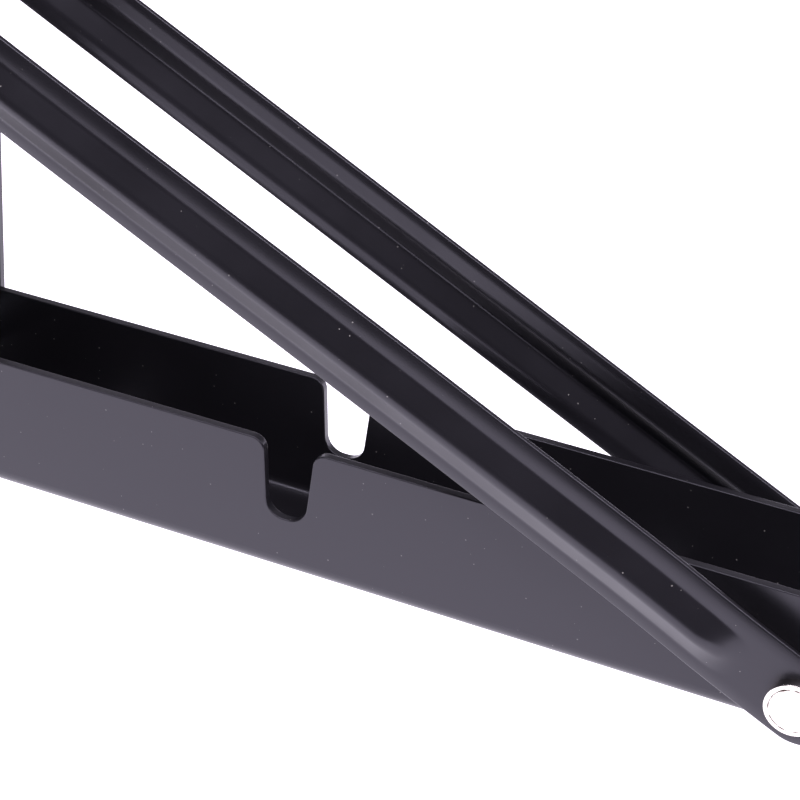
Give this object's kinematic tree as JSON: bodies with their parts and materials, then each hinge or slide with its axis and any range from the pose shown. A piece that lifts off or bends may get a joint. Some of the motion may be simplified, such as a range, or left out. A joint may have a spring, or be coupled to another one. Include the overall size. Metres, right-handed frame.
{
  "type": "folding drop leaf bracket",
  "caption": "Folding steel bracket: a notched channel under the leaf, a wall channel hinged at its end, and ribbed brace strips whose pin slides in slots and is held open by a spring latch.",
  "frame": {"origin": "on the leaf face of the shelf arm's web, below the hinge axis, in the bracket's middle plane", "axes": "+X along the shelf arm away from the hinge, +Y across the bracket, +Z from the leaf face towards the shelf arm's open side, the way the wall arm stands when the bracket is open"},
  "size_m": [0.3593, 0.0486, 0.1309],
  "materials": {
    "black_coat": "satin black powder coat",
    "nickel_rivet": "bright nickel plate",
    "zinc_steel": "zinc plated steel",
    "spring_steel": "spring steel"
  },
  "bodies": {
    "shelf_arm": {"shelf_arm": "black_coat", "latch_spring": "spring_steel", "latch_rivets": "zinc_steel", "hinge_rivet": "nickel_rivet", "hinge_sleeve": "zinc_steel"},
    "wall_arm": {"wall_arm": "black_coat", "pivot_rivet": "nickel_rivet", "pivot_sleeve": "zinc_steel", "pivot_washer_left": "zinc_steel", "pivot_washer_right": "zinc_steel"},
    "brace": {"brace_strip_left": "black_coat", "brace_strip_right": "black_coat", "slide_rivet_left": "nickel_rivet", "slide_rivet_right": "nickel_rivet", "slide_collar_left": "zinc_steel", "slide_collar_right": "zinc_steel"},
    "slide_pin": {"slide_pin": "zinc_steel", "slide_sleeve": "zinc_steel"}
  },
  "joints": [
    {"name": "fold", "type": "hinge", "parent": "shelf_arm", "child": "wall_arm", "pos_m": [0, 0, 0.0179], "axis": [0, 1, 0], "range_deg": [0, 90]},
    {"name": "brace_turn", "type": "hinge", "parent": "wall_arm", "child": "brace", "pos_m": [0, 0, 0.1134], "axis": [0, 1, 0], "range_deg": [-115.2, 0.5]},
    {"name": "pin_slide", "type": "slide", "parent": "shelf_arm", "child": "slide_pin", "axis": [1, 0, 0], "range_m": [0, 0.11932], "deforming": ["latch_spring"]}
  ],
  "couplings": [
    {"joint": "brace_turn", "follows": "fold", "ratio": -1.2744},
    {"joint": "pin_slide", "follows": "fold", "m_per_rad": 0.075835}
  ]
}
